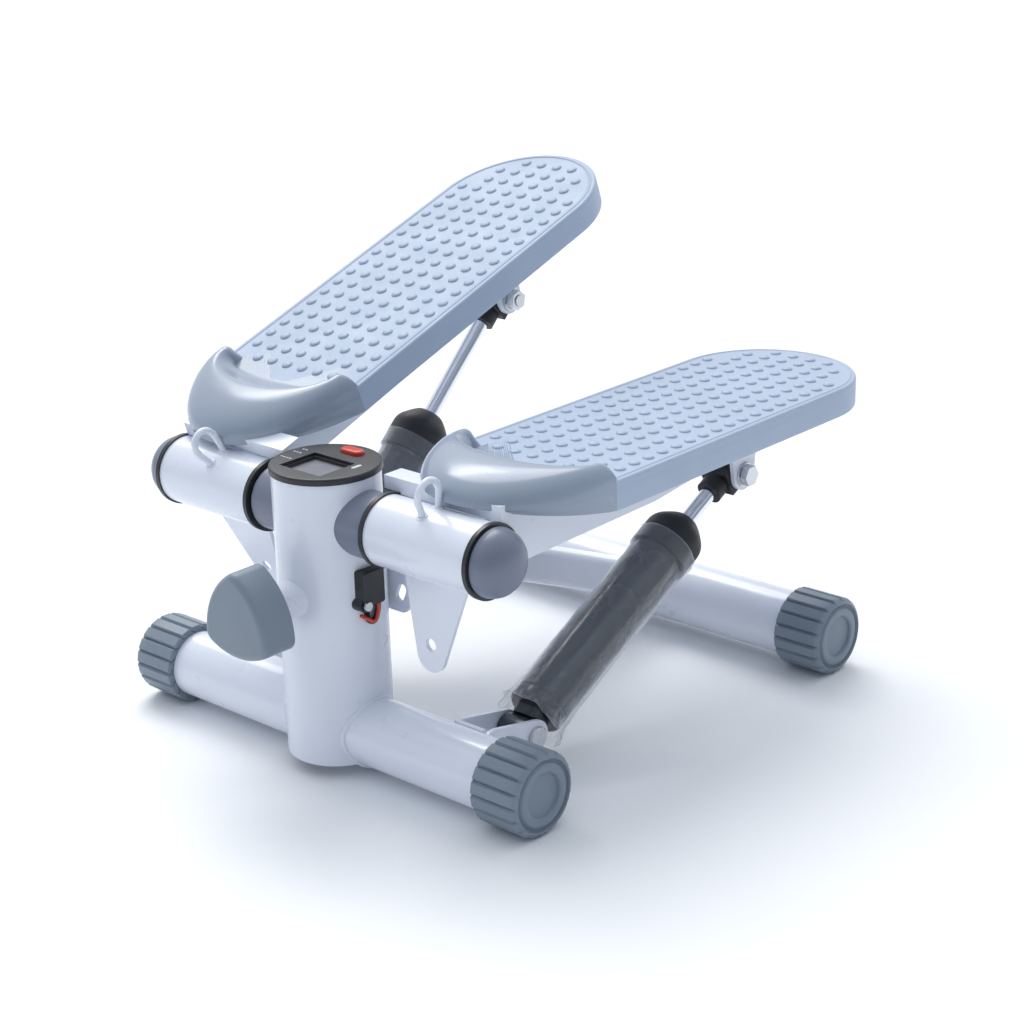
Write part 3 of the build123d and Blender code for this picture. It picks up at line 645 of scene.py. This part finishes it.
# ---------------------------------------------------------------- dampers
def damper(label):
    """Cylinder with a rolled groove near its foot, its eye, the rubber boot and the film."""
    place = damper_matrix(label)
    body = label + "_damper_barrel"
    start, end, r = CYLINDER_START, CYLINDER_END, CYLINDER_R
    tube = rounded([(start, 0.0), (start, r - 2.5), (start + 2.5, r), (start + 8, r),
                    (start + 8.6, r - 0.5), (start + 10, r - 0.5), (start + 10.6, r), (end, r),
                    (end, CYLINDER_BORE)], 1.6, 4)
    tube += [(start + CYLINDER_FLOOR, CYLINDER_BORE), (start + CYLINDER_FLOOR, 0.0)]
    tube[0] = Vector((start, 0.0))
    cylinder = label + "_damper_cylinder"
    new_piece(label + "_damper_tube", lathe(tube), "dark_paint", body, (cylinder,), place)
    damper_eye(label, body, place)
    boot = [(end, r), (BOOT_START, r)]
    boot += rounded([(BOOT_START, r), (BOOT_START, BOOT_R), (BOOT_START + 23, BOOT_R),
                     (BOOT_START + 31, BOOT_R - 7), (BOOT_END, 9.5), (BOOT_END, GLAND_BORE)], 6.5, 7)[1:]
    boot += [(end, GLAND_BORE), (end, r)]
    new_piece(label + "_damper_gland", lathe(boot), "black_rubber", body, (label + "_damper_boot",), place)
    film_sleeve(label, body, place)


def damper_eye(label, body, place):
    """Cast eye round the lower pin, with a square neck running up into the cylinder."""
    half_length = EYE_HALF_LENGTH
    ring = rounded([(-half_length, EYE_BORE), (-half_length, EYE_R), (half_length, EYE_R),
                    (half_length, EYE_BORE)], 1.0, 3)
    bm = lathe([(v.x, v.y) for v in ring] + [(-half_length, EYE_BORE)], 64)
    bmesh.ops.rotate(bm, verts=bm.verts, cent=(0, 0, 0), matrix=Matrix.Rotation(math.pi / 2, 3, "Z"))
    new_piece(label + "_damper_eye", bm, "dark_paint", body, (), place)
    rings = []
    bm = bmesh.new()
    for x, half in ((8.2, 8.4), (9.6, 9.0), (13.5, 9.0), (15.5, 9.6)):
        outline = rounded([(half, 0), (half, half), (-half, half), (-half, -half), (half, -half),
                           (half, 0)], 3.0, 4)
        rings.append([bm.verts.new((x * MM, y * MM, z * MM)) for y, z in outline[:-1]])
    join_rings(bm, rings)
    bm.faces.new(rings[0])
    bm.faces.new(rings[-1])
    new_piece(label + "_damper_neck", bm, "dark_paint", body, (), place)


def film_sleeve(label, body, place):
    """Clear film left on the cylinder, slack on its under side and crumpled at both ends."""
    around, along = 120, 90
    bm = bmesh.new()
    rings = []
    for i in range(along + 1):
        t = i / along
        x = FILM_START + (FILM_END - FILM_START) * t
        ends = max(0.0, 1 - t / 0.16) ** 1.5 + 0.6 * max(0.0, (t - 0.9) / 0.1) ** 1.5
        ring = []
        for k in range(around):
            a = math.tau * k / around
            spot = Vector((x * 0.035, 1.7 * math.cos(a), 1.7 * math.sin(a)))
            fold = abs(noise.noise(spot)) + 0.5 * abs(noise.noise(spot * 2.7))
            wave = noise.noise(Vector((x * 0.012, 1.1 * math.cos(a), 1.1 * math.sin(a) + 7.0)))
            slack = 2.2 * max(0.0, -math.sin(a)) ** 1.5
            r = FILM_R + slack + 0.7 * fold + 0.5 * abs(wave) + ends * (1.2 + 5.0 * fold)
            if x > BOOT_START - 2:
                r = max(r, BOOT_R + 0.3)
            ragged = noise.noise(Vector((3.1, 2.0 * math.cos(a), 2.0 * math.sin(a))))
            hem = 5.0 * ragged * max(0.0, 1 - t / 0.1)
            ring.append(bm.verts.new(((x + hem) * MM, r * MM * math.cos(a), r * MM * math.sin(a))))
        rings.append(ring)
    join_rings(bm, rings)
    obj = new_piece(label + "_damper_film", bm, "film", body, (), place, math.radians(60))
    thicken = obj.modifiers.new("thickness", "SOLIDIFY")
    thicken.thickness = FILM_THICKNESS * MM
    thicken.offset = 1.0


for label in SIDES:
    damper(label)


# ---------------------------------------------------------------- CAD nodes that stay
for node, obj in frame["nodes"].items():
    paint(obj, SLOT_OF[node])

for node, width in (("computer_housing", 0.4), ("sensor_housing", 0.3), ("rope_guide_plate", 0.5),
                    ("centre_beam", 0.4), ("damper_lower_pins", 0.3)):
    softened(node, width)


# ---------------------------------------------------------------- computer
def slab(bm, outline, levels):
    """Stacks a flat outline at (inset, z) levels in mm and closes both ends."""
    middle_point = sum(outline, Vector((0, 0))) / len(outline)
    rings = []
    for inset, z in levels:
        ring = []
        for v in outline:
            reach = v - middle_point
            w = middle_point + reach * (1 - inset / max(reach.length, 1e-6))
            ring.append(bm.verts.new((w.x * MM, w.y * MM, z * MM)))
        rings.append(ring)
    join_rings(bm, rings)
    bm.faces.new(rings[0])
    bm.faces.new(rings[-1])


def stadium(length, width, steps=12):
    """Outline of a bar with round ends, along x."""
    r, half = width / 2, (length - width) / 2
    right = [Vector((half + r * math.cos(a), r * math.sin(a))) for a in
             (-math.pi / 2 + math.pi * i / steps for i in range(steps + 1))]
    return right + [-v for v in right]


def start_button():
    """Bar with a rolled edge and a nearly flat top."""
    low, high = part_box("start_button")
    size = (high - low) / MM
    top = high.z / MM
    bm = bmesh.new()
    levels = [(0, low.z / MM), (0, top - 1.7), (0.12, top - 1.1), (0.45, top - 0.6), (1.1, top - 0.2),
              (2.0, top - 0.03), (3.0, top)]
    slab(bm, stadium(size.x, size.y), levels)
    place = Matrix.Translation(((low.x + high.x) / 2, (low.y + high.y) / 2, 0))
    new_piece("start_button_cap", bm, "red_plastic", "start_button", ("start_button",), place)


def window():
    """Stepped bezel inside the opening, a thin pane and the printed marks beside it."""
    low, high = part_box("display_window")
    half_x, half_y = (high.x - low.x) / 2 / MM, (high.y - low.y) / 2 / MM
    place = Matrix.Translation(((low.x + high.x) / 2, (low.y + high.y) / 2, low.z))
    bm = bmesh.new()
    rings = []
    for inset, z in ((0.0, 0.05), (0.0, 2.1), (0.15, 2.3), (1.0, 2.3), (1.2, 2.1), (1.2, 0.05)):
        corners = rounded([(half_x - inset, 0), (half_x - inset, half_y - inset),
                           (-half_x + inset, half_y - inset), (-half_x + inset, -half_y + inset),
                           (half_x - inset, -half_y + inset), (half_x - inset, 0)], 0.8, 3)
        rings.append([bm.verts.new((v.x * MM, v.y * MM, z * MM)) for v in corners[:-1]])
    join_rings(bm, rings + rings[:1])
    new_piece("display_bezel", bm, "black_plastic", "base", (), place)
    bm = bmesh.new()
    pane_inset = 1.25
    pane = [Vector((x * (half_x - pane_inset), y * (half_y - pane_inset)))
            for x, y in ((1, -1), (1, 1), (-1, 1), (-1, -1))]
    slab(bm, pane, [(0, 0.3), (0, 0.7), (0.1, 0.8)])
    new_piece("display_pane", bm, "display_glass", "base", ("display_window",), place)
    bm = bmesh.new()
    pitch = 2.6
    for first_x, y, count in ((-29.5, -9.5, 4), (-29.8, 1.8, 3), (-28.4, 8.2, 2)):
        for x in (first_x + pitch * i for i in range(count)):
            outline = [Vector((x + u, y + v)) for u, v in stadium(1.9, 1.1, 4)]
            slab(bm, outline, [(0, -0.05), (0, 0.08), (0.15, 0.12)])
    bar = [Vector((22.8 + v, 4.5 + u)) for u, v in stadium(8.0, 2.6, 6)]
    slab(bm, bar, [(0, -0.05), (0, 0.08), (0.2, 0.12)])
    new_piece("display_marks", bm, "print", "base", (), Matrix.Translation((0, TUBE.y, DISC_TOP)))


start_button()
window()


# ---------------------------------------------------------------- floor, light, camera
def stage():
    """Plain pale floor."""
    bm = bmesh.new()
    reach = 6.0
    corners = [bm.verts.new((x * reach, y * reach, 0)) for x, y in ((-1, -1), (1, -1), (1, 1), (-1, 1))]
    bm.faces.new(corners)
    mesh = bpy.data.meshes.new("floor")
    bm.to_mesh(mesh)
    bm.free()
    floor = bpy.data.objects.new("floor", mesh)
    bpy.context.scene.collection.objects.link(floor)
    floor.data.materials.append(material("floor", (0.93, 0.94, 0.95), (0.6, 0.7), mottle=0.003, grain=0.0))


def area_light(name, location, target, size, power):
    """Rectangular lamp at a place, turned to face another."""
    light = bpy.data.lights.new(name, "AREA")
    light.shape = "RECTANGLE"
    light.size, light.size_y = size
    light.energy = power
    obj = bpy.data.objects.new(name, light)
    bpy.context.scene.collection.objects.link(obj)
    obj.location = location
    obj.rotation_euler = (Vector(target) - Vector(location)).to_track_quat("-Z", "Y").to_euler()


def world():
    """Studio surroundings: bright overhead and behind on the left, dim at the camera's own side."""
    made = bpy.data.worlds.new("studio")
    made.use_nodes = True
    tree = made.node_tree
    coords = tree.nodes.new("ShaderNodeTexCoord")
    slant = tree.nodes.new("ShaderNodeVectorMath")
    slant.operation = "DOT_PRODUCT"
    slant.inputs[1].default_value = (-0.45, 0.35, 0.82)
    ramp = tree.nodes.new("ShaderNodeValToRGB")
    stops = ((-0.6, (0.16, 0.18, 0.21)), (0.0, (0.32, 0.365, 0.43)), (0.45, (0.76, 0.84, 0.95)),
             (0.9, (1.0, 1.0, 1.0)))
    shift = tree.nodes.new("ShaderNodeMapRange")
    shift.inputs["From Min"].default_value = -1.0
    ramp.color_ramp.elements.new(0.5)
    ramp.color_ramp.elements.new(0.7)
    for element, (place, colour) in zip(ramp.color_ramp.elements, stops):
        element.position = 0.5 + place / 2
        element.color = (*colour, 1)
    link(tree, coords.outputs["Generated"], slant.inputs[0])
    link(tree, slant.outputs["Value"], shift.inputs["Value"])
    link(tree, shift.outputs["Result"], ramp.inputs["Fac"])
    link(tree, ramp.outputs["Color"], tree.nodes["Background"].inputs["Color"])
    tree.nodes["Background"].inputs["Strength"].default_value = 1.0
    bpy.context.scene.world = made


def sun_light(direction, strength, spread):
    """Very soft sun from a direction; spread is its width in degrees."""
    light = bpy.data.lights.new("sun", "SUN")
    light.energy = strength
    light.angle = math.radians(spread)
    obj = bpy.data.objects.new("sun", light)
    bpy.context.scene.collection.objects.link(obj)
    obj.rotation_euler = (-Vector(direction)).to_track_quat("-Z", "Y").to_euler()


def camera():
    """The photograph's view."""
    azimuth, elevation, roll = (math.radians(a) for a in (CAMERA_AZIMUTH, CAMERA_ELEVATION, CAMERA_ROLL))
    back = Vector((math.sin(azimuth) * math.cos(elevation), -math.cos(azimuth) * math.cos(elevation),
                   math.sin(elevation)))
    right = Vector((math.cos(azimuth), math.sin(azimuth), 0))
    up = back.cross(right)
    turned_right = right * math.cos(roll) + up * math.sin(roll)
    turned_up = up * math.cos(roll) - right * math.sin(roll)
    data = bpy.data.cameras.new("camera")
    data.sensor_width = CAMERA_SENSOR
    data.lens = CAMERA_LENS
    data.clip_end = 50.0
    obj = bpy.data.objects.new("camera", data)
    bpy.context.scene.collection.objects.link(obj)
    turn = Matrix((turned_right, turned_up, back)).transposed().to_4x4()
    obj.matrix_world = Matrix.Translation(CAMERA_PLACE) @ turn
    bpy.context.scene.camera = obj


stage()
world()
camera()
sun_light((-0.5, 0.35, 0.85), 1.35, 40)
area_light("softbox", (-1.3, 0.5, 1.7), (0, 0, 0.15), (0.9, 0.35), 5)
bpy.context.scene.view_settings.view_transform = "Standard"
